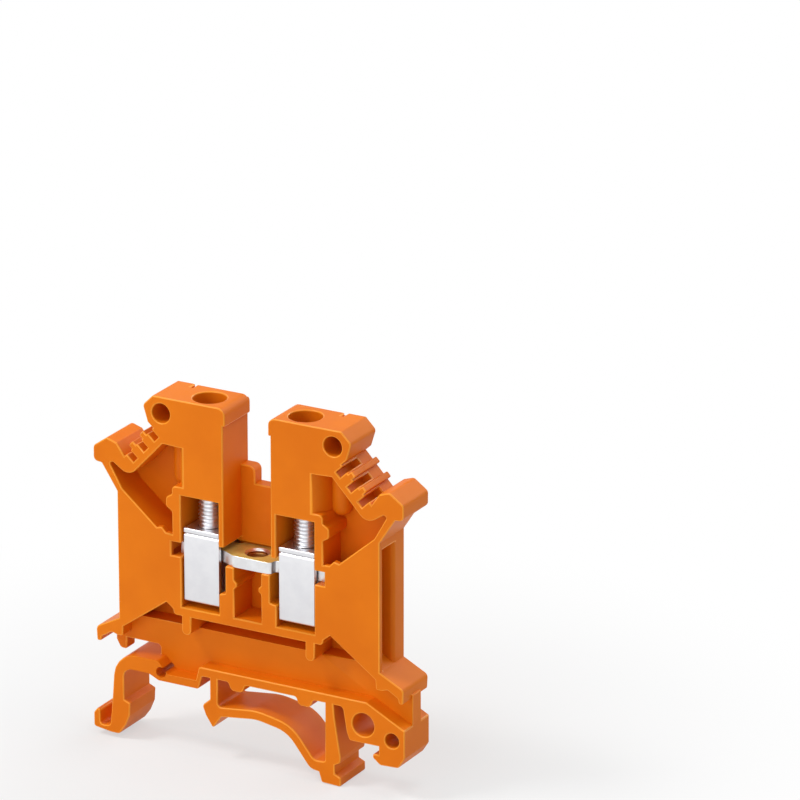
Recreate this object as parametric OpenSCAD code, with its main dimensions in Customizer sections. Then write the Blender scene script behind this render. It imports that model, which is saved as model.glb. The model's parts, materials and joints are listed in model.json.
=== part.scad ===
// Feed-through screw terminal block that snaps onto a top-hat rail.
// X runs along the conductors, Y along the rail and Z up from the top of the rail's lips.
// Depths are counted from the open front face. Outlines are drawn in the XZ plane, and the
// outlines of the upper body are drawn once, outwards from its middle, and mirrored.

/* [Housing] */
// Width of the block along the rail
pitch = 6.2; // [5.9:0.1:8]
// Height of the towers above the rail's lips
body_h = 39.5; // [38:0.5:44]
// Length across the two tower tops
tower_span = 26.1; // [25:0.1:28]
// Length across the two wire funnels
plate_span = 36.5; // [35:0.5:40]
// How far the upper body sits from the middle of the rail
body_x = -0.5; // [-1:0.1:1]
// Thickness of the moulded ribs
rib_t = 1.2; // [0.9:0.1:1.5]
// Thickness of the closed back wall
back_t = 1.8; // [1.4:0.1:2.2]
// Thickness of the web above the foot
web_t = 2; // [1.4:0.1:2.4]
// Thickness of the walls beside the middle shaft
shaft_wall = 0.7; // [0.5:0.1:0.9]
// Height of the partition that closes the middle shaft at the back
partition_z = 28.8; // [26:0.2:32]
// Diameter of the pin holes in the towers
pin_hole_d = 2.5; // [2:0.1:2.8]
// Depth of the pin holes in the towers
pin_hole_depth = 4.5; // [3:0.1:5]

/* [Marker grooves] */
// Slope of the marker grooves in degrees
groove_angle = 47; // [44:1:50]
// Width of a marker groove
groove_w = 6; // [5.6:0.1:6.4]
// Depth of the groove's floor below its edge
groove_floor = 1; // [0.7:0.1:1.2]
// Thickness of the moulding under the groove's edge
groove_t = 3.2; // [2.8:0.1:3.6]
// Distance between neighbouring slots in the floor
slot_pitch = 2.2; // [2:0.1:2.3]
// Width of a slot
slot_w = 0.85; // [0.6:0.05:1]
// Depth of a slot below the floor
slot_drop = 1.3; // [0.8:0.1:1.4]
// Length of a slot from the front face
slot_run = 3.6; // [2.5:0.1:4.2]
// Height of the ridges between the slots
ridge_h = 0.6; // [0.4:0.1:0.9]
// Width of a ridge
ridge_w = 0.8; // [0.5:0.1:1]

/* [Wire funnels] */
// Thickness of the plate in front of a funnel
plate_t = 0.8; // [0.6:0.1:1.1]
// How far the wall behind a funnel stands in front of the back wall
funnel_pad = 0.9; // [0.5:0.1:1.1]
// Radius of the flare at a funnel's mouth
flare_r = 0.85; // [0.4:0.05:1]
// Slope of the sill under a funnel in degrees
sill_angle = 35; // [32:1:38]
// Thickness of the sill
sill_t = 1.1; // [0.8:0.1:1.3]
// Reach of the sill's hooked end past the funnel
sill_reach = 3.3; // [2.8:0.1:3.8]
// Slope of the hooked end in degrees
hook_angle = 27; // [23:1:31]

/* [Clamps] */
// Distance between the two clamps
clamp_pitch = 13.3; // [12.9:0.1:14]
// Diameter of a clamp screw
screw_d = 3; // [2.6:0.1:3.3]
// Height of a clamp screw's head
head_h = 2.2; // [1.8:0.1:2.8]
// Width of the driver slot in a screw's head
driver_slot_w = 0.8; // [0.6:0.1:1]
// Width of a clamp sleeve along the conductor
sleeve_w = 4.9; // [4.5:0.1:5.2]
// Thickness of the strip that a sleeve is folded from
strip_t = 0.6; // [0.5:0.05:0.75]
// Free height under the current bar in an open clamp
wire_gap = 5.2; // [4.6:0.1:5.6]
// Travel of a sleeve from open to closed
clamp_travel = 3.4; // [2.8:0.1:3.8]

/* [Current bar] */
// Height of the bar's top above the rail's lips
bar_top = 20.8; // [20:0.1:22]
// Thickness of the bar
bar_t = 1.5; // [1.2:0.1:1.8]
// Length of the wide eye in the middle of the bar
eye_len = 5.2; // [4.6:0.1:5.4]
// How far each edge of the eye is shifted along the bar
eye_skew = 0.5; // [0:0.05:0.6]
// Length of the flare between the bar and its eye
eye_flare = 2; // [1.4:0.1:2.2]
// Depth of the eye's front edge behind the front face
eye_front = 0.2; // [0.1:0.05:0.5]
// How far the eye reaches into the back wall
eye_back = 0.5; // [0.2:0.05:0.7]
// Diameter of the threaded hole in the eye
bridge_d = 2.5; // [2:0.1:2.7]

/* [Rail foot] */
// Width of the rail across its lips
rail_w = 35; // [34.5:0.1:35.5]
// Width of the rail's trough
rail_in = 25; // [24.5:0.1:25.5]
// Depth of the rail
rail_depth = 7.5; // [7.2:0.1:7.8]
// Thickness of the rail's sheet
rail_lip = 1; // [0.8:0.1:1.1]
// Height of the foot's top rib above the rail's lips
foot_top = 5.4; // [5:0.1:5.8]
// Thickness of the springy bow
bow_t = 1.2; // [0.9:0.1:1.4]
// Diameter of the larger hole in the fixed foot
foot_hole_d = 3; // [2.4:0.1:3.2]
// Diameter of the smaller hole in the fixed foot
foot_small_hole_d = 1.9; // [1.5:0.1:2.2]

/* [Hidden] */
$fn = 48;

// Steps in each rounded corner, and the overlap that joins moulded features
corner_steps = 5;
bond = 0.2;
deep_bond = 0.8;

// Clearances
side_gap = 0.2;
floor_gap = 0.7;
head_room = 0.8;
thread_gap = 0.05;
tip_gap = 0.05;
bar_gap = 0.15;
sleeve_gap = 0.3;
eye_room = 0.3;
fold_gap = 0.06;
sleeve_front = 0.4;
head_gap = 0.3;
rail_gap = 0.1;

// Clamp sleeve, its pocket and the screw above it
front = -pitch / 2;
sleeve_in = screw_d + 2 * sleeve_gap;
sleeve_d = sleeve_in + 2 * strip_t;
clamp_y = front + sleeve_front + sleeve_d / 2;
bar_half = sleeve_in / 2 - sleeve_gap;
over_bar = 1;
bar_bottom = bar_top - bar_t;
sleeve_bottom = bar_bottom - wire_gap - strip_t;
sleeve_top = bar_top + over_bar + 2 * strip_t + fold_gap;
pocket_top = sleeve_top + clamp_travel + head_room;
pocket_floor = sleeve_bottom - floor_gap;
pocket_depth = sleeve_front + sleeve_d + bar_gap;
clamp_u = clamp_pitch / 2;
pocket_in = clamp_u - sleeve_w / 2 - side_gap;
pocket_out = clamp_u + sleeve_w / 2 + side_gap;
wall_out = pocket_out + rib_t;
head_d = screw_d + 0.9;
well_d = head_d + 0.3;
well_wall = 1.5;
well_floor_t = 1.4;
well_floor = pocket_top + well_floor_t;
screw_hole_d = screw_d + 0.3;
head_bottom = well_floor + head_gap;

// Towers and marker grooves
shaft_in = pocket_in - shaft_wall;
top_lip_h = 2.3;
top_lip = 0.3;
key_w = 0.4;
key_len = 1.3;
key_step = 0.25;
key_drop = 0.35;
tower_u = tower_span / 2;
key_u = tower_u - 2.4;
cheek = 1.4;
cheek_h = 3.5;
cheek_in = 0.65;
groove_origin = [tower_u + cheek - cheek_in, body_h - cheek_h];
groove_dir = [cos(groove_angle), -sin(groove_angle)];
groove_up = [sin(groove_angle), cos(groove_angle)];
lip_rise = 0.85;
lip_hook = 0.4;
end_wall = 1.4;
lip_tip = groove(groove_w - lip_hook, lip_rise);
recess_top = groove_origin[1] - 2.7;
first_slot = 0.7;

// Wire funnels and the frame round the pockets
plate_u = plate_span / 2;
ear_u = plate_u + 3.3;
ear_h = 1.95;
ear_low = lip_tip[1] - 2.85;
arm_t = 0.85;
arm_top = [ear_u - 1.15, ear_low - 0.1];
arm_foot = [plate_u, arm_top[1] - 3.3];
arm_across = unit([arm_foot[1] - arm_top[1], arm_top[0] - arm_foot[0]]) * arm_t;
crest_rise = 1.2;
funnel_crest = [wall_out + 2.2, bar_top + crest_rise + 0.55];
roof_t = 1;
roof_along = arm_foot + arm_across - funnel_crest;
roof_fall = (funnel_crest[0] - wall_out + bond) * roof_along[1] / roof_along[0];
roof_foot = [wall_out - bond, funnel_crest[1] - roof_fall];
frame_bottom = pocket_floor - rib_t;
back_depth = pitch - back_t;
funnel_depth = back_depth - funnel_pad;
sill_start = [wall_out + 1.5, pocket_floor + rib_t];
sill_dir = [cos(sill_angle), -sin(sill_angle)];
sill_down = [-sin(sill_angle), -cos(sill_angle)];
plate_low = sill_start[1] - (plate_u - sill_start[0]) * tan(sill_angle);
web_front = (pitch - web_t) / 2;
web_top = frame_bottom - 2;
back_low = web_top - 1;
window_sill = 0.8;
web_in = 1.6;
partition_w = 1.9;
partition_rise = 2.2;

// Foot, counted from the rail
rail_half = rail_w / 2;
trough_half = rail_in / 2;
trough_z = rail_lip - rail_depth;
foot_under = foot_top - rib_t;
foot_end = rail_half + 3.7;
seat_in = trough_half + 1.1;
hook_z = -rail_lip - rail_gap;
post_right = 10.2;
post_left = -5.95;
post_t = 1.1;
latch_in = -rail_half - 0.7;
latch_out = latch_in - 1.5;
latch_top = foot_top - 0.35;
arm_under = latch_top - 1.9;
strip_top = foot_top - 1.9;
strip_under = strip_top - 1;
arm_end = -rail_half + 5.6;
arm_slope = 1.4;
slit = 1.25;
slit_end = arm_end - 2.2;
stop_in = latch_in - 0.75;
stop_out = latch_out - 0.75;
stop_low = latch_top - 0.3;
root_hole_d = 1.4;
root_hole_in = 0.95;
root_hole_rise = 0.1;
foot_hole_in = 2;
foot_hole_z = 2.4;
small_hole_out = 1.95;
small_hole_z = 1.1;

// Eye of the current bar
eye_near = front + eye_front;
eye_far = front + back_depth + eye_back;
eye_y = (eye_near + eye_far) / 2;

// A point of the marker groove: s runs down along it and n stands up from its edge
function groove(s, n) = groove_origin + s * groove_dir + n * groove_up;

// A point of the sill: s runs down along its top and t goes into it
function sill(s, t) = sill_start + s * sill_dir + t * sill_down;

// Puts a corner radius behind a point
function corner(p, r) = [p[0], p[1], r];

function unit(v) = v / norm(v);

// Turns a direction a quarter to its right
function across(v) = unit([v[1], -v[0]]);

// Point at a distance t to the right of the corner b, on a path through a, b and c
function beside(a, b, c, t) =
    let(n1 = across(b - a))
    let(n2 = across(c - b))
    b + t * (n1 + n2) / (1 + n1 * n2);

// Turns an angle into the shorter way round
function short_turn(a) = a > 180 ? a - 360 : a < -180 ? a + 360 : a;

// Arc that rounds the corner at b, limited by half of the shorter side next to it
function fillet(a, b, c, r) =
    let(d1 = unit(a - b))
    let(d2 = unit(c - b))
    let(half = acos(d1 * d2) / 2)
    let(t = min(r / tan(half), norm(a - b) / 2, norm(c - b) / 2))
    let(centre = b + unit(d1 + d2) * t / cos(half))
    let(from = b + d1 * t - centre)
    let(to = b + d2 * t - centre)
    let(start = atan2(from[1], from[0]))
    let(turn = short_turn(atan2(to[1], to[0]) - start))
    [for (i = [0 : corner_steps])
        centre + norm(from) * [cos(start + turn * i / corner_steps), sin(start + turn * i / corner_steps)]];

function flat(p) = [p[0], p[1]];

// Outline whose points may carry a corner radius as their third number
function rounded(p) =
    let(n = len(p))
    [for (i = [0 : n - 1])
        each p[i][2] == undef || p[i][2] == 0
            ? [flat(p[i])]
            : fillet(flat(p[(i + n - 1) % n]), flat(p[i]), flat(p[(i + 1) % n]), p[i][2])];

module outline(p) {
    polygon(rounded(p));
}

// Extrudes an outline from one depth behind the front face to another
module slab(near, far) {
    translate([0, front + far, 0])
        rotate([90, 0, 0])
            linear_extrude(far - near)
                children();
}

// Places an outline of the upper body on both sides of its middle
module both_sides() {
    translate([body_x, 0]) {
        children();
        mirror([1, 0])
            children();
    }
}

// Places a solid of the upper body on both sides of its middle
module both_solids() {
    translate([body_x, 0, 0]) {
        children();
        mirror([1, 0, 0])
            children();
    }
}

// Tower with its pin-hole cheek, the marker groove, the ear and the ear's arm
module tower_outline() {
    ridge_at = [first_slot + slot_pitch / 2, first_slot + 3 * slot_pitch / 2];
    ear_top = [lip_tip[0] + 1.4, lip_tip[1] + 0.45];
    floor_n = -groove_floor;
    ridge_n = floor_n + ridge_h;
    outline([
        [shaft_in, pocket_top],
        [shaft_in, body_h - top_lip_h],
        [shaft_in - top_lip, body_h - top_lip_h],
        [shaft_in - top_lip, body_h, 1],
        [tower_u, body_h, 0.3],
        [tower_u + cheek, body_h - cheek, 0.6],
        corner(groove_origin, 0.3),
        groove(0, floor_n),
        for (s = ridge_at, k = [-1, 1])
            each k < 0
                ? [groove(s - ridge_w / 2, floor_n), corner(groove(s - ridge_w / 2, ridge_n), 0.15)]
                : [corner(groove(s + ridge_w / 2, ridge_n), 0.15), groove(s + ridge_w / 2, floor_n)],
        groove(groove_w, floor_n),
        corner(lip_tip, 0.25),
        corner(ear_top, 0.5),
        [ear_u, ear_low + ear_h, 0.6],
        [ear_u, ear_low, 0.8],
        corner(arm_top, 0.2),
        arm_foot,
        arm_foot + arm_across,
        corner(arm_top + arm_across + [0, 0.5], 0.28),
        corner(groove(groove_w + end_wall, -groove_t), 1.5),
        groove(0.45, -groove_t),
        [clamp_u, recess_top],
        [clamp_u, pocket_top]
    ]);
}

// Closed wall at the back, without the towers that stand on it
module back_outline() {
    outline([
        [0, back_low],
        [plate_u - 0.6, back_low],
        [plate_u, plate_low],
        arm_foot,
        arm_top + [0, deep_bond],
        groove(groove_w, deep_bond - groove_t),
        groove(0, deep_bond - groove_t),
        [shaft_in, recess_top + deep_bond],
        [shaft_in, partition_z],
        [0, partition_z]
    ]);
}

// Plate in front of a wire funnel
module plate_outline() {
    inner = bar_top + crest_rise;
    outline([
        [wall_out - bond, inner],
        [wall_out + 0.9, inner + 0.1],
        [wall_out + 1.5, inner + 0.75, 0.3],
        funnel_crest,
        arm_foot + arm_across,
        arm_foot,
        [plate_u, plate_low - bond],
        sill(bond, bond),
        [wall_out - bond, sill_start[1] - bond]
    ]);
}

// Roof of a wire funnel, from the ear's arm down to the frame
module roof_outline() {
    outline([
        roof_foot,
        arm_foot + arm_across,
        arm_foot,
        arm_foot - [0, roof_t],
        roof_foot - [0, roof_t]
    ]);
}

// Side of a wire funnel, under its roof
module side_outline() {
    outline([
        roof_foot,
        arm_foot + arm_across,
        arm_foot,
        [plate_u, plate_low - bond],
        sill(bond, bond),
        [wall_out - bond, sill_start[1] - bond]
    ]);
}

// Sill that leads a wire up into the clamp and ends in a hooked lower ear
module sill_outline() {
    tip = [plate_u + sill_reach, plate_low - sill_reach * tan(hook_angle)];
    hook_drop = 1.85;
    knob_low = plate_low - 2.3;
    outline([
        [wall_out - bond, sill_start[1]],
        sill_start,
        [plate_u, plate_low],
        corner(tip, 0.7),
        [tip[0] - 0.1, tip[1] - hook_drop, 0.25],
        [tip[0] - 0.65, tip[1] - hook_drop, 0.25],
        [tip[0] - 0.8, tip[1] - 1.2, 0.2],
        [plate_u + 1.1, knob_low + 0.25, 0.3],
        [plate_u + 0.3, knob_low, 0.3],
        [plate_u - 0.5, knob_low, 0.3],
        [plate_u - 0.6, back_low],
        sill(0.1, sill_t),
        [wall_out, sill_start[1] - sill_t - 0.6],
        [wall_out - bond, sill_start[1] - sill_t - 0.6]
    ]);
}

// Walls that frame the clamp pocket, the ribs under the current bar and the pin under the frame
module frame_outline() {
    centre_in = 1.9;
    nub = 0.4;
    nub_z = sleeve_bottom + 3.6;
    step_z = sleeve_bottom + 2;
    bump = 0.85;
    bump_z = pocket_top - 1.1;
    frame_r = 0.55;
    pin_u = pocket_out - 0.65;
    outline([
        [pocket_out, frame_bottom],
        [wall_out, frame_bottom, frame_r],
        [wall_out, bump_z - 1.1, 0.3],
        [wall_out + bump, bump_z - 0.6, 0.5],
        [wall_out + bump, bump_z + 0.6, 0.5],
        [wall_out, bump_z + 1.1, 0.3],
        [wall_out, pocket_top + 1.1, frame_r],
        [pocket_out - 0.4, pocket_top + 1.1],
        [pocket_out - 0.4, pocket_top - bond],
        [pocket_out, pocket_top - bond]
    ]);
    outline([
        [-bond, frame_bottom],
        [wall_out, frame_bottom, frame_r],
        [wall_out, pocket_floor],
        [-bond, pocket_floor]
    ]);
    outline([
        [centre_in, pocket_floor - bond],
        [pocket_in, pocket_floor - bond],
        [pocket_in, step_z],
        [centre_in + rib_t, step_z + 0.2, 0.2],
        [centre_in + rib_t, bar_bottom],
        [centre_in, bar_bottom],
        [centre_in, nub_z + 0.6, 0.3],
        [centre_in - nub, nub_z + 0.2, 0.2],
        [centre_in - nub, nub_z - 0.2, 0.2],
        [centre_in, nub_z - 0.6, 0.3]
    ]);
    outline([
        [shaft_in, pocket_top + bond],
        [shaft_in, bar_top + head_room],
        [pocket_in + bond, bar_top + head_room],
        [pocket_in + bond, pocket_top + bond]
    ]);
    outline([
        [pin_u - 0.65, frame_bottom + bond],
        [pin_u - 0.65, web_top - 0.35, 0.6],
        [pin_u + 0.65, web_top - 0.35, 0.6],
        [pin_u + 0.65, frame_bottom + bond]
    ]);
}

// Recessed web between the frame and the foot
module web_outline() {
    left = body_x - plate_u;
    outline([
        [stop_in, latch_top + slit],
        [stop_in, stop_low, 0.3],
        [stop_out + 0.6, stop_low, 0.6],
        [stop_out, stop_low + 1.1],
        [stop_out, plate_low - 1.7],
        [left, plate_low - 1],
        [left + 1, web_top],
        [body_x + plate_u - 1, web_top],
        [body_x + plate_u, plate_low - 1],
        [foot_end, plate_low - 3],
        [foot_end, foot_top - 2.7 - bond],
        [seat_in + 0.5, foot_under],
        [post_right, foot_under + bond],
        [post_left, foot_under + bond],
        [post_left - 2.2, strip_top - bond],
        [arm_end + bond, strip_top - bond],
        [slit_end, latch_top - bond],
        [slit_end, latch_top + slit, 0.5]
    ]);
}

// Top rib of the foot with the fixed hook that grips one lip of the rail
module fixed_foot_outline() {
    slope_top = rail_half - 1.55;
    boss_low = foot_under - 1.05;
    outline([
        [post_left - 1.5, foot_top, 0.4],
        [slope_top, foot_top, 0.5],
        [foot_end, foot_top - 2.7],
        [foot_end, -0.9, 0.5],
        [foot_end - 0.9, hook_z - 1.2, 0.5],
        [rail_half + 0.3, hook_z - 1.3, 0.6],
        [rail_half - 0.7, hook_z - 0.5, 0.3],
        [rail_half - 0.7, hook_z, 0.2],
        [rail_half + rail_gap, hook_z],
        [rail_half + rail_gap, 0],
        [seat_in, 0, 0.4],
        [seat_in - 0.4, 1],
        [seat_in - 0.95, foot_under, 0.55],
        for (x = [7.35, -2.15])
            each [
                [x + 1.2, foot_under, 0.4],
                [x + 0.8, boss_low, 0.7],
                [x - 0.8, boss_low, 0.7],
                [x - 1.2, foot_under, 0.4]
            ],
        [post_left - 1.1, foot_under, 0.3],
        [post_left - 1.6, strip_under],
        [post_left - 2.3, strip_under],
        [post_left - 2.3, strip_top],
        [post_left - 2, strip_top]
    ]);
}

// Posts and springy bow that brace the foot against the rail's trough
module brace_outline() {
    bottom = trough_z + rail_gap;
    heel = trough_half - 0.15;
    bow_start = [post_left + post_t, 0.6];
    bow_top = [0.6, 1.25];
    bow_turn = [5.55, 0.35];
    bow_low = [8.65, -3.6];
    bow_end = [post_right, bow_low[1] + 0.1];
    outline([
        [post_left, foot_under + bond],
        [post_left, 1.4],
        [post_left - 1.1, 0.45, 0.5],
        [post_left - 0.6, -0.8],
        [post_left + 0.4, -2.3, 0.2],
        [bow_start[0] + 0.5, bow_start[1] - bow_t, 0.3],
        corner(beside(bow_start, bow_top, bow_turn, bow_t), 6),
        corner(beside(bow_top, bow_turn, bow_low, bow_t), 4),
        corner(beside(bow_turn, bow_low, bow_end, bow_t), 1.6),
        [9.3, bottom + 1.4],
        [9.7, bottom + 0.1, 0.3],
        [heel, bottom, 0.25],
        [heel, bottom + 1.15, 0.2],
        [heel - 0.85, bottom + 1.55],
        [heel - 0.85, bottom + 2.7],
        [heel - 0.1, bottom + 3.1, 0.3],
        [heel, bottom + 3.8, 0.3],
        [heel - 0.85, 2.6],
        [post_right + post_t, foot_under + bond],
        [post_right, foot_under + bond],
        corner(bow_end, 0.3),
        corner(bow_low, 1),
        corner(bow_turn, 5.2),
        corner(bow_top, 8),
        corner(bow_start, 0.5),
        [bow_start[0], foot_under + bond]
    ]);
}

// Resilient latch: a strip, a bent arm, the hook under the lip and the lug for a screwdriver
module latch_outline() {
    lug_out = latch_out - 2.9;
    lug_low = hook_z - 4.7;
    outline([
        [post_left - 2.1, strip_under],
        [post_left - 2.1, strip_top],
        [arm_end, strip_top, 0.4],
        [arm_end - arm_slope, latch_top, 0.5],
        [latch_out + 0.3, latch_top, 3.4],
        [latch_out - 0.25, -2],
        [latch_out - 0.55, lug_low + 0.9, 0.5],
        [lug_out + 0.9, lug_low + 0.7, 0.5],
        [lug_out + 0.9, hook_z - 2.1],
        [lug_out + 0.55, hook_z - 1.8, 0.2],
        [lug_out, hook_z - 2.5, 0.3],
        [lug_out, lug_low + 0.35, 0.4],
        [latch_out - 0.4, lug_low, 0.3],
        [latch_in - 0.8, lug_low, 0.5],
        [latch_in + 0.15, hook_z - 3.4],
        [latch_in + 0.75, hook_z - 2, 0.3],
        [latch_in + 0.85, hook_z - 0.35, 0.2],
        [latch_in, hook_z, 0.15],
        [latch_in, arm_under, 1.2],
        [arm_end - 2.7, arm_under, 0.5],
        [arm_end - 1.3, strip_under, 0.5]
    ]);
}

// Slots in the marker groove's floor
module slot_outline() {
    for (i = [0 : 2])
        let(s = first_slot + i * slot_pitch)
            outline([
                groove(s - slot_w / 2, bond - groove_floor),
                groove(s + slot_w / 2, bond - groove_floor),
                groove(s + slot_w / 2, -groove_floor - slot_drop),
                groove(s - slot_w / 2, -groove_floor - slot_drop)
            ]);
}

// Wall behind a funnel, with a quarter-round flare at its mouth
module funnel_wall() {
    intersection() {
        slab(funnel_depth, back_depth + bond)
            side_outline();
        translate([0, front, 0])
            linear_extrude(body_h)
                outline([
                    [wall_out - bond, funnel_depth],
                    [plate_u, funnel_depth, flare_r],
                    [plate_u, back_depth + bond],
                    [wall_out - bond, back_depth + bond]
                ]);
    }
}

// Round outer wall of the screw well and the round column beside it, above a funnel
module well_columns() {
    well_r = well_d / 2 + well_wall;
    column_r = 1.35;
    column_u = clamp_u + well_r + 0.7;
    column_z = pocket_top + column_r;
    intersection() {
        translate([clamp_u, clamp_y, pocket_top])
            cylinder(r = well_r, h = recess_top - pocket_top + deep_bond);
        translate([clamp_u, front, pocket_top])
            cube([2 * well_r, pitch, body_h - pocket_top]);
    }
    intersection() {
        translate([column_u, front + back_depth - 0.4, column_z]) {
            cylinder(r = column_r, h = recess_top - column_z + deep_bond);
            sphere(r = column_r);
        }
        translate([clamp_u, front, pocket_top])
            cube([2 * well_r, pitch, recess_top - pocket_top + deep_bond]);
    }
}

// Screw well, the clamp pocket, the slot for the bar's end and the wire's way into the sleeve
module clamp_cuts() {
    translate([clamp_u, clamp_y, well_floor])
        cylinder(d = well_d, h = body_h - well_floor + bond);
    translate([clamp_u, clamp_y, pocket_top - bond])
        cylinder(d = screw_hole_d, h = well_floor_t + 2 * bond);
    translate([pocket_in, front - bond, pocket_floor])
        cube([pocket_out - pocket_in, pocket_depth + bond, pocket_top - pocket_floor]);
    translate([pocket_out - bond, front - bond, bar_bottom])
        cube([rib_t + 2 * bond, clamp_y + bar_half + bar_gap - front + bond, bar_t + 2 * bar_gap]);
    translate([pocket_out - bond, front + plate_t, sill_start[1]])
        cube([rib_t + 2 * bond, funnel_depth - plate_t, bar_bottom - window_sill - sill_start[1]]);
}

// Room in the back wall for the current bar's eye
module eye_recess() {
    translate([body_x - pocket_in - bond, front + back_depth - bond, bar_bottom])
        cube([2 * (pocket_in + bond), bond + eye_back + bar_gap, bar_t + eye_room]);
}

// Keyway in the tower's top: a step along the back edge that ends in a short slot
module top_keyway() {
    back = front + pitch;
    translate([0, 0, body_h - key_drop])
        linear_extrude(key_drop + bond)
            outline([
                [0, back + bond],
                [0, back - key_step],
                [key_u - key_w, back - key_step],
                [key_u - key_w, back - key_len],
                [key_u, back - key_len],
                [key_u, back + bond]
            ]);
}

// Pin hole in the tower's cheek
module pin_hole() {
    translate([groove_origin[0] - 1.9, front - bond, groove_origin[1] + 1.4])
        rotate([-90, 0, 0])
            cylinder(d = pin_hole_d, h = pin_hole_depth + bond);
}

// Holes through the fixed foot and through the root of the latch's arm
module foot_holes() {
    translate([arm_end - root_hole_in, front - bond, strip_top + root_hole_rise])
        rotate([-90, 0, 0])
            cylinder(d = root_hole_d, h = pitch + 2 * bond);
    translate([rail_half - foot_hole_in, front - bond, foot_hole_z])
        rotate([-90, 0, 0])
            cylinder(d = foot_hole_d, h = pitch + 2 * bond);
    translate([rail_half + small_hole_out, front - bond, small_hole_z])
        rotate([-90, 0, 0])
            cylinder(d = foot_small_hole_d, h = pitch + 2 * bond);
}

// Moulded housing with its foot and latch, in one piece
module housing() {
    color([0.89, 0.46, 0.05])
        difference() {
            union() {
                slab(0, pitch)
                    both_sides() {
                        tower_outline();
                        sill_outline();
                        frame_outline();
                    }
                slab(back_depth, pitch)
                    both_sides()
                        back_outline();
                slab(0, plate_t)
                    both_sides()
                        plate_outline();
                slab(bond, back_depth + bond)
                    both_sides()
                        roof_outline();
                slab(web_front, web_front + web_t)
                    web_outline();
                slab(web_front, back_depth + bond)
                    both_sides()
                        outline([
                            [-bond, back_low],
                            [plate_u - web_in, back_low],
                            [plate_u - web_in, web_top],
                            [-bond, web_top]
                        ]);
                slab(back_depth, pitch)
                    translate([body_x, 0])
                        outline([
                            [-shaft_in - bond, partition_z - bond],
                            [partition_w - shaft_in, partition_z - bond],
                            [partition_w - shaft_in, partition_z + partition_rise, 0.8],
                            [-shaft_in - bond, partition_z + partition_rise]
                        ]);
                slab(0, pitch) {
                    fixed_foot_outline();
                    brace_outline();
                    latch_outline();
                }
                both_solids() {
                    funnel_wall();
                    well_columns();
                }
            }
            both_solids() {
                clamp_cuts();
                pin_hole();
                top_keyway();
            }
            eye_recess();
            slab(-bond, slot_run)
                both_sides()
                    slot_outline();
            foot_holes();
        }
}

// Flat bar through both clamps, with a wide threaded eye in the middle
module current_bar() {
    bar_near = clamp_y - bar_half;
    bar_far = clamp_y + bar_half;
    bar_end = wall_out - 0.4;
    slope_end = eye_len / 2 - eye_skew;
    slope_start = slope_end + eye_flare;
    step_end = eye_len / 2 + eye_skew;
    step_start = step_end + 0.15;
    chamfer = 0.3;
    color([0.85, 0.8, 0.68])
        translate([body_x, 0, bar_bottom])
            difference() {
                linear_extrude(bar_t)
                    outline([
                        [-bar_end, bar_near, 0.2],
                        [-slope_start, bar_near, 1.2],
                        [-slope_end, eye_near, 1.2],
                        [step_end, eye_near, 0.6],
                        [step_start, bar_near, 0.3],
                        [bar_end, bar_near, 0.2],
                        [bar_end, bar_far, 0.2],
                        [slope_start, bar_far, 1.2],
                        [slope_end, eye_far, 1.2],
                        [-step_end, eye_far, 0.4],
                        [-step_start, bar_far, 0.2],
                        [-bar_end, bar_far, 0.2]
                    ]);
                translate([0, eye_y, -bond])
                    cylinder(d = bridge_d, h = bar_t + 2 * bond);
                translate([0, eye_y, bar_t - chamfer])
                    cylinder(d1 = bridge_d, d2 = bridge_d + 2 * chamfer + 0.02, h = chamfer + 0.01);
            }
}

// Section of the folded strip: the inner flap, round under the wire, and the flap on top
module sleeve_section() {
    half = sleeve_d / 2;
    in = half - strip_t;
    lap = sleeve_top - strip_t;
    bend = strip_t * 0.6;
    crease = strip_t * 0.2;
    outline([
        [-half, lap - fold_gap, bend],
        [-half, sleeve_bottom, bend],
        [half, sleeve_bottom, bend],
        [half, sleeve_top, bend],
        [-half, sleeve_top, 0.1],
        [-half, lap, 0.1],
        [in, lap],
        [in, sleeve_bottom + strip_t, crease],
        [-in, sleeve_bottom + strip_t, crease],
        [-in, lap - fold_gap - strip_t],
        [in - fold_gap, lap - fold_gap - strip_t],
        [in - fold_gap, lap - fold_gap]
    ]);
}

// Clamp sleeve, folded from one strip round the current bar and threaded for its screw
module clamp_sleeve(side) {
    color([0.86, 0.86, 0.88])
        translate([body_x + side * clamp_u, clamp_y, 0])
            difference() {
                translate([-sleeve_w / 2, 0, 0])
                    rotate([90, 0, 90])
                        linear_extrude(sleeve_w)
                            sleeve_section();
                translate([0, 0, bar_top])
                    cylinder(d = screw_d + 2 * thread_gap, h = sleeve_top - bar_top + bond);
            }
}

// Clamp screw, turned in one piece with a slotted head
module clamp_screw(side) {
    tip = bar_top + tip_gap;
    point = 0.35;
    slot_depth = head_h * 0.55;
    head_edge = 0.3;
    color([0.74, 0.75, 0.77])
        translate([body_x + side * clamp_u, clamp_y, 0])
            difference() {
                rotate_extrude()
                    polygon([
                        [0, tip],
                        [screw_d / 2 - point, tip],
                        [screw_d / 2, tip + point],
                        [screw_d / 2, head_bottom],
                        [head_d / 2, head_bottom],
                        [head_d / 2, head_bottom + head_h - head_edge],
                        [head_d / 2 - head_edge, head_bottom + head_h],
                        [0, head_bottom + head_h]
                    ]);
                translate([-head_d, -driver_slot_w / 2, head_bottom + head_h - slot_depth])
                    cube([2 * head_d, driver_slot_w, head_h]);
            }
}

module clamp_sleeve_left() {
    clamp_sleeve(-1);
}

module clamp_sleeve_right() {
    clamp_sleeve(1);
}

module clamp_screw_left() {
    clamp_screw(-1);
}

module clamp_screw_right() {
    clamp_screw(1);
}

housing();
current_bar();
clamp_sleeve_left();
clamp_sleeve_right();
clamp_screw_left();
clamp_screw_right();
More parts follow.
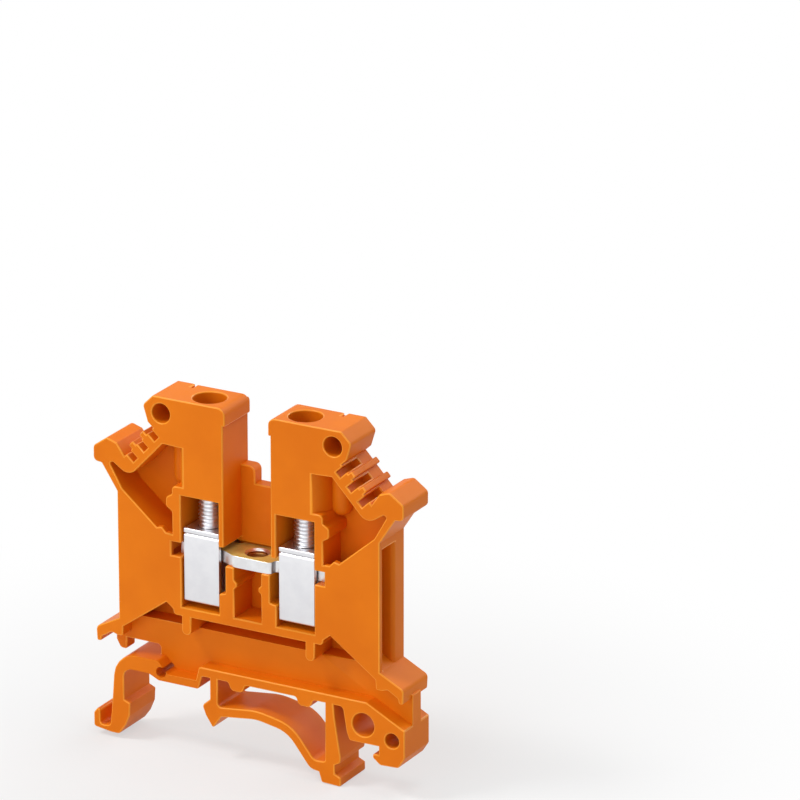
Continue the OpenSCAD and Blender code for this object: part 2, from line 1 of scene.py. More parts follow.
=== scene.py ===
# %% [markdown]
# # A feed-through terminal block
# The real block is one orange polyamide moulding. In it lie a plated current bar, two sleeves
# folded from zinc-plated strip and two clamp screws. The solids already have the right shape
# and size, so this lesson adds what a solid lacks: softened edges, cut threads and finishes.
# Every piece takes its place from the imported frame, in metres, and nothing is moved.

import json
import math

import bmesh
import bpy
import numpy as np
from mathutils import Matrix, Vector
from mathutils.bvhtree import BVHTree


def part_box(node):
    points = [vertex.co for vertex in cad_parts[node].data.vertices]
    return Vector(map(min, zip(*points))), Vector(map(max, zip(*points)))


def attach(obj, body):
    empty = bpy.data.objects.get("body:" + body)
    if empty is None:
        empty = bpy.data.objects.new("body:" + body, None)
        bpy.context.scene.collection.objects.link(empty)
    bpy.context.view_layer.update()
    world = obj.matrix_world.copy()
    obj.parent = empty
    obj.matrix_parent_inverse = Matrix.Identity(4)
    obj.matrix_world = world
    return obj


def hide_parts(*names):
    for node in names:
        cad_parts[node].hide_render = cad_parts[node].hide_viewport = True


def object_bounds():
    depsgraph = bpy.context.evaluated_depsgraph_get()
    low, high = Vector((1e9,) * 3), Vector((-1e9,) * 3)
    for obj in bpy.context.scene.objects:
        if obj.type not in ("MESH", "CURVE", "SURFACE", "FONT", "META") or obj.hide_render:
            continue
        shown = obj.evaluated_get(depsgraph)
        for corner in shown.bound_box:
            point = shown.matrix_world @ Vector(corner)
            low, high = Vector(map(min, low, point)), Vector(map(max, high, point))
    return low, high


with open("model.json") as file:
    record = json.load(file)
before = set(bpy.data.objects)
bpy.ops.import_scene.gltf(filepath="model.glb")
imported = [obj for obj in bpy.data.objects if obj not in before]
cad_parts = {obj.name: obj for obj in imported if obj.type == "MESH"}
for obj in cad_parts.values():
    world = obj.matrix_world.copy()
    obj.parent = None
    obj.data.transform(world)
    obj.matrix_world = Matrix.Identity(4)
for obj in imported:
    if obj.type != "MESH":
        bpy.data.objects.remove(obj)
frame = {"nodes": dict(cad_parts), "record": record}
cad_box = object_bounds()
MM = 0.001
print("CAD box in mm:", [[round(c / MM, 2) for c in corner] for corner in cad_box])

# %% [markdown]
# ## Shader arithmetic
# A finish is easier to read as a formula than as a web of nodes. The class below wraps one
# output socket, so that `0.4 + 0.1 * grain` adds the Math nodes by itself. Every other kind of
# node comes from its one method, which sets the node's settings first and its sockets after.

# %% A socket that takes part in Python arithmetic
NOISE_ROUGHNESS = 0.55


class Wire:
    """One socket of a material's node tree: operators on it add Math nodes."""

    def __init__(self, tree, socket=None):
        self.tree = tree
        self.socket = socket

    def node(self, kind, settings=None, sockets=None, output=0):
        """Adds a node, sets its settings and then its sockets, and returns one output."""
        made = self.tree.nodes.new(kind)
        for name, value in (settings or {}).items():
            setattr(made, name, value)
        for name, value in (sockets or {}).items():
            if isinstance(value, Wire):
                self.tree.links.new(value.socket, made.inputs[name])
            else:
                made.inputs[name].default_value = value
        return Wire(self.tree, made.outputs[output] if len(made.outputs) else None)

    def math(self, operation, first, second):
        """One Math node on two numbers or wires."""
        return self.node("ShaderNodeMath", {"operation": operation}, {0: first, 1: second})

    def __add__(self, other):
        return self.math("ADD", self, other)

    def __radd__(self, other):
        return self.math("ADD", other, self)

    def __sub__(self, other):
        return self.math("SUBTRACT", self, other)

    def __rsub__(self, other):
        return self.math("SUBTRACT", other, self)

    def __mul__(self, other):
        return self.math("MULTIPLY", self, other)

    def __rmul__(self, other):
        return self.math("MULTIPLY", other, self)

    def between(self, low, high):
        """0 below low, 1 above high and a smooth step between them."""
        return self.node(
            "ShaderNodeMapRange",
            {"interpolation_type": "SMOOTHSTEP"},
            {"Value": self, "From Min": low, "From Max": high},
        )

    def blend(self, first, second):
        """The first colour where this value is 0, the second where it is 1."""
        return self.node(
            "ShaderNodeMix", {"data_type": "RGBA"}, {0: self, 6: first, 7: second}, output=2
        )

    def noise(self, size, detail=2.0, stretch=(1.0, 1.0, 1.0)):
        """Cloudy noise from 0 to 1: features of that size in metres, longer where stretch is small."""
        place = self.node("ShaderNodeTexCoord", output="Object")
        stretched = self.node("ShaderNodeMapping", None, {"Vector": place, "Scale": stretch})
        return self.node(
            "ShaderNodeTexNoise",
            None,
            {
                "Vector": stretched,
                "Scale": 1 / size,
                "Detail": detail,
                "Roughness": NOISE_ROUGHNESS,
            },
        )

    def bump(self, height, distance):
        """A normal that follows a height from 0 to 1, as deep as distance in metres."""
        return self.node(
            "ShaderNodeBump", None, {"Height": height, "Distance": distance, "Strength": 1.0}
        )


def new_material(name):
    """A material with an empty tree, and a Wire to add its nodes with."""
    material = bpy.data.materials.new(name)
    material.use_nodes = True
    material.node_tree.nodes.clear()
    return material, Wire(material.node_tree)


def finish_with(wire, shader):
    """Leads a shader to the material's output."""
    wire.node("ShaderNodeOutputMaterial", None, {"Surface": shader})


print("shader helper ready")

# %% [markdown]
# ## Orange polyamide
# The housing is polyamide 6.6 from a spark-eroded mould: an even orange with a satin skin. Real
# mouldings are never quite one colour, so a slow cloud shifts the orange a little, and a fine
# grain breaks up the gloss. The rounded rims get a finish of their own: it is a little smoother
# and glossier, and its lighter, yellower orange is a painted highlight along every rim. Noise on
# Object coordinates is used rather than a picture, because it needs no unwrapping and has no seams.

# %% Orange polyamide
ORANGE = (0.79, 0.192, 0.004, 1)
DEEP_ORANGE = (0.73, 0.165, 0.003, 1)
# The rim tones are lighter and yellower than the housing's: a painted highlight along the rounded
# edges.
PAINTED_HIGHLIGHT_ORANGE = (0.92, 0.315, 0.016, 1)
PAINTED_HIGHLIGHT_DEEP = (0.87, 0.275, 0.012, 1)
CLOUD_BAND = (0.3, 0.7)
CLOUD_SIZE = 9 * MM
FLOW_SIZE = 2.5 * MM
FLOW_DRAW = (1.0, 1.0, 0.25)
GRAIN_SIZE = 0.12 * MM
GRAIN_DEPTH = 0.004 * MM
GRAIN_ROUGHNESS = 0.1
FLOW_ROUGHNESS = 0.06


def orange_polyamide(name, deep, light, smooth, gloss):
    """Moulded polyamide: its two tones, the smoothest it gets, and how strongly its skin mirrors."""
    material, wire = new_material(name)
    cloud = wire.noise(CLOUD_SIZE, detail=3.0)
    grain = wire.noise(GRAIN_SIZE, detail=3.0)
    flow = wire.noise(FLOW_SIZE, stretch=FLOW_DRAW)
    shader = wire.node(
        "ShaderNodeBsdfPrincipled",
        None,
        {
            "Base Color": cloud.between(*CLOUD_BAND).blend(deep, light),
            "Roughness": smooth + GRAIN_ROUGHNESS * grain + FLOW_ROUGHNESS * flow,
            "Normal": wire.bump(grain, GRAIN_DEPTH),
            "Specular IOR Level": gloss,
        },
    )
    finish_with(wire, shader)
    return material


housing_finish = orange_polyamide(
    "orange_polyamide", DEEP_ORANGE, ORANGE, smooth=0.36, gloss=0.12
)
# The rims' finish is a little smoother and glossier, and its lighter orange is a painted highlight.
rim_gloss_and_highlight = orange_polyamide(
    "orange_polyamide_rim_highlight", PAINTED_HIGHLIGHT_DEEP, PAINTED_HIGHLIGHT_ORANGE, smooth=0.26, gloss=0.3
)
print("finishes:", housing_finish.name, rim_gloss_and_highlight.name)

# %% [markdown]
# ## Plated metals
# Plating makes the metals nearly white. The strip shows its rolling lines along its length, and
# the screws show turned rings. The bar's rolled faces stay golden, and they scatter light more
# than they mirror it. A thread that was cut after plating shows the bare copper alloy, in a tone
# darkened past copper's own as painted shade down in the hole. These differ only in tone, in
# roughness and in how their lines run, so one function makes them all.

# %% Plated metals
TARNISH_SIZE = 1.6 * MM
TARNISH_ROUGHNESS = 0.06
LINE_ROUGHNESS = 0.12
ROUND_THE_SLEEVE = (1.0, 0.05, 0.05)
ALONG_THE_BAR = (0.05, 1.0, 1.0)
ROUND_THE_SCREW = (0.2, 0.2, 1.0)
ALL_WAYS = (1.0, 1.0, 1.0)


def plated_metal(name, pale, dull, rough, line, stretch, depth, metallic=1.0):
    """A plated metal: two tones and a grain of lines of that width, drawn out along the axes."""
    material, wire = new_material(name)
    cloud = wire.noise(TARNISH_SIZE, detail=3.0)
    lines = wire.noise(line, detail=4.0, stretch=stretch)
    shader = wire.node(
        "ShaderNodeBsdfPrincipled",
        None,
        {
            "Base Color": cloud.between(*CLOUD_BAND).blend(dull, pale),
            "Metallic": metallic,
            "Roughness": rough + LINE_ROUGHNESS * lines + TARNISH_ROUGHNESS * cloud,
            "Normal": wire.bump(lines, depth),
        },
    )
    finish_with(wire, shader)
    return material


strip_finish = plated_metal(
    "zinc_plated_strip", (0.79, 0.79, 0.81, 1), (0.75, 0.75, 0.775, 1),
    rough=0.24, line=0.12 * MM, stretch=ROUND_THE_SLEEVE, depth=0.0008 * MM,
)
bar_finish = plated_metal(
    "plated_copper_alloy", (0.84, 0.85, 0.86, 1), (0.74, 0.74, 0.75, 1),
    rough=0.22, line=0.15 * MM, stretch=ALONG_THE_BAR, depth=0.001 * MM,
)
face_finish = plated_metal(
    "rolled_copper_alloy", (0.78, 0.65, 0.18, 1), (0.66, 0.51, 0.12, 1),
    rough=0.4, line=0.15 * MM, stretch=ALONG_THE_BAR, depth=0.001 * MM, metallic=0.4,
)
# The thread's tone is bare copper alloy darkened further: painted shade for the inside of the hole.
copper_thread_and_shade = plated_metal(
    "cut_copper_and_painted_shade", (0.62, 0.34, 0.12, 1), (0.5, 0.25, 0.08, 1),
    rough=0.24, line=0.1 * MM, stretch=ALL_WAYS, depth=0.001 * MM,
)
screw_finish = plated_metal(
    "zinc_plated_screw", (0.82, 0.83, 0.85, 1), (0.72, 0.73, 0.76, 1),
    rough=0.24, line=0.1 * MM, stretch=ROUND_THE_SCREW, depth=0.0012 * MM,
)
metals = (strip_finish, bar_finish, face_finish, copper_thread_and_shade, screw_finish)
print("finishes:", [metal.name for metal in metals])

# %% [markdown]
# ## Edges
# A mould never gives a knife edge: every rim of the real block catches a thin line of light.
# A painted line alone would look the same from every side, so the edges are rounded for real;
# on the housing their rounded faces also get a lighter orange, a painted highlight. A CAD
# mesh is loose triangles, so its copy is merged first. Outer edges that turn sharply then get a
# bevel weight, and inner corners stay sharp. The steps of a curved face turn less than that, so
# they are only shaded smoothly.

# %% Merge a copy and weigh its edges
MERGE_DISTANCE = 0.0002 * MM
SHARP_ANGLE = math.radians(32)


def merged_copy(node):
    """The CAD node's triangles with shared corners."""
    shape = bmesh.new()
    shape.from_mesh(frame["nodes"][node].data)
    bmesh.ops.remove_doubles(shape, verts=shape.verts, dist=MERGE_DISTANCE)
    return shape


def weigh_sharp_edges(shape):
    """Of the edges that turn more than SHARP_ANGLE, outer ones get weight 1, inner ones stay sharp."""
    layer = shape.edges.layers.float.new("bevel_weight_edge")
    sharp = [e for e in shape.edges if e.is_manifold and e.calc_face_angle() > SHARP_ANGLE]
    for edge in sharp:
        edge.smooth = edge.is_convex
        edge[layer] = float(edge.is_convex)
    return len(sharp)


def mesh_from(shape, name):
    """The finished mesh without the loose triangles' normals, and how many edges are open."""
    mesh = bpy.data.meshes.new(name)
    shape.to_mesh(mesh)
    open_edges = sum(not e.is_manifold for e in shape.edges)
    shape.free()
    custom = mesh.attributes.get("custom_normal")
    if custom:
        mesh.attributes.remove(custom)
    return mesh, open_edges


print("edges count as sharp from", round(math.degrees(SHARP_ANGLE)), "degrees")

# %% [markdown]
# ## Rounding
# A Bevel modifier rounds just the weighted edges, so the mesh below it stays the solid's own.
# Hardened normals keep the flat faces flat beside the rounding. The object stands for its CAD
# node, which is hidden, and rides on that node's body.

# %% Round the weighted edges
BEVEL_SEGMENTS = 2
AS_BESIDE = -1


def piece_from(mesh, materials, body, node, edge_width, edge_material=AS_BESIDE):
    """An object that stands for a CAD node, with its weighted edges rounded to that width."""
    for material in materials:
        mesh.materials.append(material)
    mesh.polygons.foreach_set("use_smooth", np.ones(len(mesh.polygons), bool))
    piece = bpy.data.objects.new(mesh.name, mesh)
    bpy.context.scene.collection.objects.link(piece)
    bevel = piece.modifiers.new("soft_edges", "BEVEL")
    bevel.limit_method = "WEIGHT"
    bevel.width = edge_width
    bevel.segments = BEVEL_SEGMENTS
    bevel.use_clamp_overlap = False
    bevel.loop_slide = False
    bevel.miter_outer = "MITER_SHARP"
    # On the housing the rounded faces take the rim finish, whose lighter orange is a painted
    # highlight.
    bevel.material = edge_material
    bevel.harden_normals = True
    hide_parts(node)
    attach(piece, body)
    return piece


print("rounding in", BEVEL_SEGMENTS, "steps")

# %% [markdown]
# ## Folds
# Where edges lie closer together than the rounding is wide, rounded faces would fold over. The
# modifier's own clamp would narrow every edge of a piece to suit its tightest spot. A folded
# face looks against the solid below it, and that tells where to halve the weights until the
# folds are gone.

# %% Find the folds
LEAST_FOLD = 0.0003 * MM ** 2


def read(items, name, width):
    """One property of all vertices, edges or triangles, as an array of rows."""
    values = np.empty(len(items) * width)
    items.foreach_get(name, values)
    return values.reshape(-1, width)


def folds(piece, solid):
    """Corners of triangles that look against the solid's nearest face, and strays off the box."""
    rounded = piece.evaluated_get(bpy.context.evaluated_depsgraph_get()).to_mesh()
    rounded.calc_loop_triangles()
    triangles = rounded.loop_triangles
    large = read(triangles, "area", 1)[:, 0] > LEAST_FOLD
    normals = read(triangles, "normal", 3)[large]
    points = read(rounded.vertices, "co", 3)
    corners = points[read(triangles, "vertices", 3).astype(int)[large]]
    below = np.array([solid.find_nearest(middle)[1] for middle in corners.mean(axis=1)])
    turned = corners[(below * normals).sum(axis=1) < 0].reshape(-1, 3)
    strays = points[np.any((points < cad_box[0]) | (points > cad_box[1]), axis=1)]
    return np.vstack([turned, strays])


print(f"folds count from {LEAST_FOLD / MM ** 2:.4f} square mm")

# %% Ease the folds
EASING_ROUNDS = 14
FOLD_REACH = 1.2
NO_LENGTH = 1e-18


def distances(points, starts, ends):
    """From every point to every edge: the nearest place on an edge is start + t (end - start)."""
    along = ends - starts
    length = np.maximum((along ** 2).sum(axis=1), NO_LENGTH)
    t = np.clip(((points[:, None] - starts) * along).sum(axis=2) / length, 0, 1)
    return np.linalg.norm(points[:, None] - starts - t[..., None] * along, axis=2)


def ease_folds(piece, solid, edge_width):
    """Halves the bevel weights near each fold, until there is none or the rounds are over."""
    mesh = piece.data
    weights = mesh.attributes["bevel_weight_edge"].data
    points = read(mesh.vertices, "co", 3)
    starts, ends = points[read(mesh.edges, "vertices", 2).astype(int).T]
    left = []
    for _ in range(EASING_ROUNDS):
        found = folds(piece, solid)
        left.append(len(found))
        if not len(found):
            break
        weight = read(weights, "value", 1)[:, 0]
        near = distances(found, starts, ends).min(axis=0) < FOLD_REACH * edge_width
        weights.foreach_set("value", np.where(near, weight / 2, weight))
        mesh.update()
        bpy.context.view_layer.update()
    kept = read(weights, "value", 1)[:, 0]
    lengths = np.linalg.norm(ends - starts, axis=1)
    full = lengths[kept == 1].sum() / lengths[kept > 0].sum()
    print(f"  {piece.name}: fold corners in each round {left}, {full:.0%} of the edges kept full")


def soft_edged(node, name, materials, body, edge_width):
    """A CAD node as it is, with its sharp edges rounded and given the last of the materials."""
    shape = merged_copy(node)
    solid = BVHTree.FromBMesh(shape)
    sharp = weigh_sharp_edges(shape)
    mesh, open_edges = mesh_from(shape, name)
    piece = piece_from(mesh, materials, body, node, edge_width, len(materials) - 1)
    print(f"{name}: {len(mesh.polygons)} faces, {sharp} sharp edges, {open_edges} open")
    ease_folds(piece, solid, edge_width)


print("at most", EASING_ROUNDS, "rounds of easing")

# %% [markdown]
# ## Housing
# The moulding has ribs, recesses, funnels and a springy foot, and its solid has them all. It
# could be modelled again as a mesh, but that would only be a less exact copy. So it keeps the
# solid's form, and only its outer edges are rounded, to about a sixth of a millimetre.

# %% Housing
HOUSING_EDGE = 0.16 * MM
soft_edged(
    "housing", "moulded_housing", [housing_finish, rim_gloss_and_highlight],
    "housing", HOUSING_EDGE,
)

# %% [markdown]
# ## Clamp sleeves
# Each sleeve is a strip of steel folded round the current bar. It could be a profile carried
# along the fold, and the solid is just that, so its form stays too. Steel is sheared and keeps
# a crisper edge than a moulding, so its edges are rounded less than the housing's.

# %% Clamp sleeves
STRIP_EDGE = 0.05 * MM
for side in ("left", "right"):
    soft_edged(
        f"clamp_sleeve_{side}", f"folded_sleeve_{side}", [strip_finish],
        f"sleeve_{side}", STRIP_EDGE,
    )

# %% [markdown]
# ## Threads
# Bump would leave a thread's outline straight, so the threads here are real surfaces. A thread
# is a radius that depends on two numbers, the angle round the axis and the height along it.
# Going once round the axis shifts the profile by one pitch, so the phase is the height in
# pitches less the share of a turn. The profile is the metric one: a crest an eighth of a pitch
# wide, straight flanks, and a root a quarter wide.

# %% Thread surface
THREAD_PITCH = 0.5 * MM
THREAD_DEPTH = 0.6134 * THREAD_PITCH
CREST_WIDTH = 1 / 8
ROOT_WIDTH = 1 / 4
ROWS_PER_PITCH = 16


def groove(angle, height):
    """How deep the groove is from 0 at the crest to 1 at the root, by the distance to the crest."""
    phase = height / THREAD_PITCH - angle / (2 * np.pi)
    from_crest = np.abs(phase - np.floor(phase) - 0.5)
    flank = (1 - CREST_WIDTH - ROOT_WIDTH) / 2
    return np.clip((from_crest - CREST_WIDTH / 2) / flank, 0, 1)


def thread_rows(low, high):
    """Heights from low to high, ROWS_PER_PITCH to a pitch."""
    count = int(round((high - low) / THREAD_PITCH * ROWS_PER_PITCH))
    return np.linspace(low, high, count + 1)


def tube_faces(rows, columns):
    """Quads between neighbouring rings of points, each ring closed on itself."""
    row, column = np.meshgrid(np.arange(rows - 1), np.arange(columns), indexing="ij")
    here = row * columns + column
    beside = row * columns + (column + 1) % columns
    return np.stack([here, beside, beside + columns, here + columns], axis=-1).reshape(-1, 4)


def tube_points(centre, radius, angle, height):
    """Points at that radius round a vertical axis: arrays of one shape for all three."""
    return np.stack(
        [centre[0] + radius * np.cos(angle), centre[1] + radius * np.sin(angle), height], axis=-1
    ).reshape(-1, 3)


print(f"thread: pitch {THREAD_PITCH / MM} mm, depth {THREAD_DEPTH / MM:.3f} mm")

# %% [markdown]
# ## Clamp screws
# The head with its slot comes from the solid. The solid's shank is a plain cylinder at the
# thread's outer size, so its faces are dropped and a threaded shank takes their place. It runs a
# little way up into the head, tapers at the tip and fades out under the head.

# %% Threaded shank
SCREW_RADIUS = 1.5 * MM
SHANK_COLUMNS = 48
TIP_TAPER = 0.35 * MM
RUN_OUT = 0.5 * MM


def screw_shank(centre, tip, head_bottom):
    """Threaded shank: the radius is the smaller of the thread's and the tapered tip's."""
    heights = np.append(thread_rows(tip, head_bottom), head_bottom + RUN_OUT / 2)
    angles = np.linspace(0, 2 * np.pi, SHANK_COLUMNS, endpoint=False)
    height, angle = np.meshgrid(heights, angles, indexing="ij")
    cut = np.clip((head_bottom - height) / RUN_OUT, 0, 1)
    threaded = SCREW_RADIUS - THREAD_DEPTH * groove(angle, height) * cut
    radius = np.minimum(threaded, SCREW_RADIUS - TIP_TAPER + height - tip)
    rings = tube_points(centre, radius, angle, height)
    poles = [[*centre, tip], [*centre, heights[-1]]]
    around = np.arange(SHANK_COLUMNS)
    onward = (around + 1) % SHANK_COLUMNS
    last_ring = len(rings) - SHANK_COLUMNS
    bottom = np.stack([onward, around, np.full_like(around, len(rings))], axis=-1)
    top = np.stack(
        [around + last_ring, onward + last_ring, np.full_like(around, len(rings) + 1)], axis=-1
    )
    faces = [*tube_faces(len(heights), SHANK_COLUMNS).tolist(), *bottom.tolist(), *top.tolist()]
    mesh = bpy.data.meshes.new("shank")
    mesh.from_pydata(np.vstack([rings, poles]).tolist(), [], faces)
    return mesh


print("shank of", SHANK_COLUMNS, "columns")

# %% Clamp screws
SCREW_EDGE = 0.06 * MM
WIDER_THAN_SHANK = 1.1 * SCREW_RADIUS


def clamp_screw(side):
    """The head of the solid with its edges rounded, on a threaded shank."""
    node = f"clamp_screw_{side}"
    low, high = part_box(node)
    centre = ((low.x + high.x) / 2, (low.y + high.y) / 2)
    shape = merged_copy(node)
    points = np.array([v.co for v in shape.verts])
    radius = np.hypot(points[:, 0] - centre[0], points[:, 1] - centre[1])
    head_bottom = points[radius > WIDER_THAN_SHANK, 2].min()
    below = [f for f in shape.faces if f.calc_center_median().z < head_bottom - MERGE_DISTANCE]
    bmesh.ops.delete(shape, geom=below, context="FACES")
    bmesh.ops.holes_fill(shape, edges=[e for e in shape.edges if e.is_boundary], sides=0)
    sharp = weigh_sharp_edges(shape)
    shape.from_mesh(screw_shank(centre, low.z, head_bottom))
    mesh, open_edges = mesh_from(shape, f"threaded_screw_{side}")
    piece_from(mesh, [screw_finish], f"screw_{side}", node, SCREW_EDGE)
    print(f"{mesh.name}: {len(mesh.polygons)} faces, {sharp} sharp edges, {open_edges} open")


for side in ("left", "right"):
    clamp_screw(side)

# %% [markdown]
# ## Current bar
# The bar carries the current from clamp to clamp, and its eye has a thread for a jumper. The
# hole's plain wall is dropped from the copy, and a threaded wall takes its place. The wall's
# columns stand on the corners of the hole's own rim, so the two join without a seam, and the
# groove fades at both ends to meet the rims. The rolled top and bottom are golden, while the
# cut sides are bright, so a face takes its finish from how far its normal rises.

# %% Threaded wall of the eye
FADE = 0.12 * MM
SIDE_SLOT, THREAD_SLOT, FACE_SLOT = range(3)


def threaded_wall(centre, radius, angles, low, high):
    """Inner thread: the radius grows from the hole's own size into the metal along the groove."""
    heights = thread_rows(low, high)
    height, angle = np.meshgrid(heights, angles, indexing="ij")
    fade = np.clip(np.minimum(height - low, high - height) / FADE, 0, 1)
    wall = radius + THREAD_DEPTH * (1 - groove(angle, height)) * fade
    mesh = bpy.data.meshes.new("wall")
    faces = tube_faces(len(heights), len(angles))[:, ::-1]
    mesh.from_pydata(tube_points(centre, wall, angle, height).tolist(), [], faces.tolist())
    mesh.polygons.foreach_set("material_index", np.full(len(faces), THREAD_SLOT))
    return mesh


print(f"the wall's thread fades over {FADE / MM} mm")

# %% Current bar
BAR_EDGE = 0.06 * MM
WALL_REACH = 0.02 * MM
RIM_REACH = 0.01 * MM
LEAST_RISE = 0.9


def current_bar():
    """The bar's solid with its edges rounded and a threaded wall in its eye."""
    mount = next(m for m in frame["record"]["mounts"] if m["name"] == "bridge_thread")
    centre = mount["pos_m"][:2]
    radius = mount["dims"]["r_mm"] * MM
    shape = merged_copy("current_bar")
    sharp = weigh_sharp_edges(shape)

    def on_wall(vert):
        return abs(math.hypot(vert.co.x - centre[0], vert.co.y - centre[1]) - radius) < WALL_REACH

    wall = [f for f in shape.faces if all(on_wall(v) for v in f.verts)]
    rim = np.array([v.co for v in {v for f in wall for v in f.verts}])
    low, high = rim[:, 2].min(), rim[:, 2].max()
    lower = rim[rim[:, 2] < (low + high) / 2]
    angles = np.sort(np.arctan2(lower[:, 1] - centre[1], lower[:, 0] - centre[0]))
    bmesh.ops.delete(shape, geom=wall, context="FACES")
    for face in shape.faces:
        face.material_index = FACE_SLOT if abs(face.normal.z) > LEAST_RISE else SIDE_SLOT
    shape.from_mesh(threaded_wall(centre, radius, angles, low, high))
    bmesh.ops.remove_doubles(shape, verts=shape.verts, dist=RIM_REACH)
    solid = BVHTree.FromBMesh(shape)
    mesh, open_edges = mesh_from(shape, "plated_bar")
    finishes = [bar_finish, copper_thread_and_shade, face_finish]
    piece = piece_from(mesh, finishes, "housing", "current_bar", BAR_EDGE)
    print(f"plated_bar: {len(mesh.polygons)} faces, {sharp} sharp edges, {open_edges} open,")
    print(f"  its thread on {len(angles)} columns from {low / MM:.2f} to {high / MM:.2f} mm")
    ease_folds(piece, solid, BAR_EDGE)


current_bar()

# %% [markdown]
# ## Stage
# The block stands on a white sweep. More light would make a floor white too, but it would
# bleach the block. So the white comes from the floor's own finish: round the block it is partly
# a matt white that takes the shadow, and further out it is as even as the surroundings.

# %% Finish of the floor
WHITE = (1, 1, 1, 1)
MATT_WHITE = (0.7, 0.7, 0.7, 1)
SHADOW_REACH = (0.015, 0.08)
SHADOW_STRENGTH = 0.45


def shown(wire):
    """1 for what the camera, a mirror or a lens sees, 0 for what only gives light."""
    camera = wire.node("ShaderNodeLightPath", output="Is Camera Ray")
    glossy = wire.node("ShaderNodeLightPath", output="Is Glossy Ray")
    through = wire.node("ShaderNodeLightPath", output="Is Transmission Ray")
    return wire.math("MINIMUM", camera + glossy + through, 1.0)


def white_floor():
    """Matt white that turns into an even white with the distance from the block."""
    material, wire = new_material("white_floor")
    place = wire.node("ShaderNodeTexCoord", output="Object")
    away = wire.node("ShaderNodeVectorMath", {"operation": "LENGTH"}, {0: place}, output="Value")
    matt = wire.node("ShaderNodeBsdfDiffuse", None, {"Color": MATT_WHITE})
    even = wire.node("ShaderNodeEmission", None, {"Color": WHITE, "Strength": 1.0})
    near = 1 - away.between(*SHADOW_REACH)
    white = 1 - SHADOW_STRENGTH * near
    mixed = wire.node("ShaderNodeMixShader", None, {0: shown(wire) * white, 1: matt, 2: even})
    finish_with(wire, mixed)
    return material


floor_finish = white_floor()
print("finish:", floor_finish.name)

# %% Floor
FLOOR_GAP = 0.02 * MM
FLOOR_RADIUS = 0.9
FLOOR_HUB = 0.02
FLOOR_RINGS = 12
FLOOR_COLUMNS = 72


def disc(radius, z):
    """A flat disc: rings of points at radius times s, for s from a small hub out to 1."""
    shares = np.linspace(FLOOR_HUB, 1, FLOOR_RINGS)
    angles = np.linspace(0, 2 * np.pi, FLOOR_COLUMNS, endpoint=False)
    s, angle = np.meshgrid(shares, angles, indexing="ij")
    points = tube_points((0, 0), radius * s, angle, np.full_like(s, z))
    hub = list(range(FLOOR_COLUMNS))
    rings = tube_faces(FLOOR_RINGS, FLOOR_COLUMNS)[:, ::-1]
    mesh = bpy.data.meshes.new("floor")
    mesh.from_pydata(points.tolist(), [], [hub, *rings.tolist()])
    return mesh


floor_mesh = disc(FLOOR_RADIUS, cad_box[0].z - FLOOR_GAP)
floor_mesh.materials.append(floor_finish)
floor = bpy.data.objects.new("floor", floor_mesh)
bpy.context.scene.collection.objects.link(floor)
print("floor at", round(floor_mesh.vertices[0].co.z / MM, 2), "mm")

# %% [markdown]
# ## Light
# A photograph for a catalogue is lit from large soft boxes. The surroundings give an even fill,
# and what a mirror, a lens or the camera sees of them is plain white. The key lamp stands in
# front, to the left and above. A second one in front reaches into the recesses, a small one
# draws the rims, and two more keep the top and the back from going dark.

# %% Surroundings
FILL = 0.34


def white_world():
    """White to look at, and a weaker even light for everything else."""
    world = bpy.data.worlds.new("white_room")
    world.use_nodes = True
    world.node_tree.nodes.clear()
    wire = Wire(world.node_tree)
    strength = FILL + (1 - FILL) * shown(wire)
    light = wire.node("ShaderNodeBackground", None, {"Color": WHITE, "Strength": strength})
    wire.node("ShaderNodeOutputWorld", None, {"Surface": light})
    bpy.context.scene.world = world


white_world()
print("fill:", FILL)

# %% Lamps: the direction they stand in, their size in metres and their watts
LAMP_DISTANCE = 0.5
LAMPS = {
    "key": ((-0.25, -0.87, 0.42), 0.36, 0.54),
    "front": ((0.1, -0.99, 0.06), 0.34, 0.53),
    "edge": ((-0.456, -0.342, 0.822), 0.12, 1.15),
    "top": ((0.25, 0.05, 0.97), 0.22, 0.6),
    "back": ((0.25, 0.85, 0.4), 0.36, 0.9),
}
block_middle = (cad_box[0] + cad_box[1]) / 2


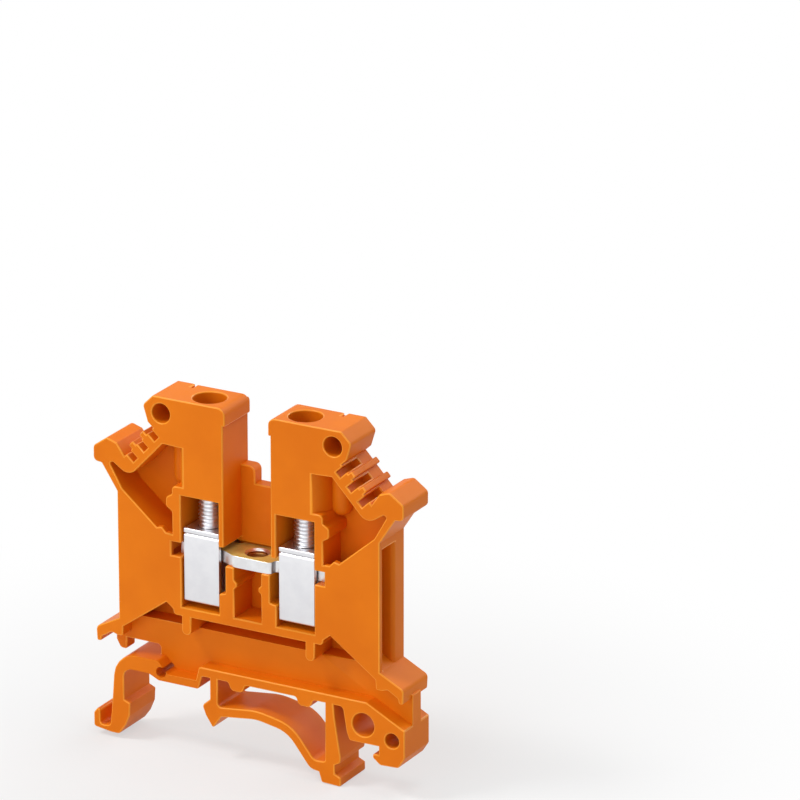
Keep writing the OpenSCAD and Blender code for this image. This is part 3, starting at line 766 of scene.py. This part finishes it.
def soft_box(name, towards, size, watts):
    """A square area lamp that stands in that direction from the block and faces it."""
    place = block_middle + LAMP_DISTANCE * Vector(towards).normalized()
    lamp = bpy.data.lights.new(name, "AREA")
    lamp.shape = "SQUARE"
    lamp.size = size
    lamp.energy = watts
    stand = bpy.data.objects.new(name, lamp)
    stand.location = place
    stand.rotation_mode = "QUATERNION"
    stand.rotation_quaternion = (block_middle - place).to_track_quat("-Z", "Y")
    bpy.context.scene.collection.objects.link(stand)


for name, (towards, size, watts) in LAMPS.items():
    soft_box(name, towards, size, watts)
print("lamps:", list(LAMPS))

# %% [markdown]
# ## Camera
# The photograph was taken from a distance with a long lens, from the right and a little above.
# The block lies low and to the left in the frame. A shifted lens could do that, but every other
# view would keep the shift, so the camera points past the block instead.

# %% Camera
AZIMUTH = math.radians(29)
ELEVATION = math.radians(20)
DISTANCE = 0.8
FRAME_PIXELS = 800
FOCAL_PIXELS = 6605
SENSOR = 36
MIDDLE_HEIGHT = 16.5 * MM
AIM_RIGHT = 16.5 * MM
AIM_UP = 22.4 * MM
NEAREST = 0.01
FARTHEST = 10


def photo_camera():
    """A camera at the photograph's angle, and the length of its lens in mm."""
    back = Vector((
        math.sin(AZIMUTH) * math.cos(ELEVATION),
        -math.cos(AZIMUTH) * math.cos(ELEVATION),
        math.sin(ELEVATION),
    ))
    right = Vector((math.cos(AZIMUTH), math.sin(AZIMUTH), 0))
    up = back.cross(right)
    aim = Vector((0, 0, MIDDLE_HEIGHT)) + right * AIM_RIGHT + up * AIM_UP
    lens = bpy.data.cameras.new("camera")
    lens.sensor_width = SENSOR
    lens.lens = SENSOR * FOCAL_PIXELS / FRAME_PIXELS
    lens.clip_start = NEAREST
    lens.clip_end = FARTHEST
    camera = bpy.data.objects.new("camera", lens)
    camera.location = aim + back * DISTANCE
    camera.rotation_mode = "QUATERNION"
    camera.rotation_quaternion = (-back).to_track_quat("-Z", "Y")
    bpy.context.scene.collection.objects.link(camera)
    bpy.context.scene.camera = camera
    return lens.lens


print("lens in mm:", round(photo_camera(), 1))
bpy.context.scene.view_settings.view_transform = "Standard"
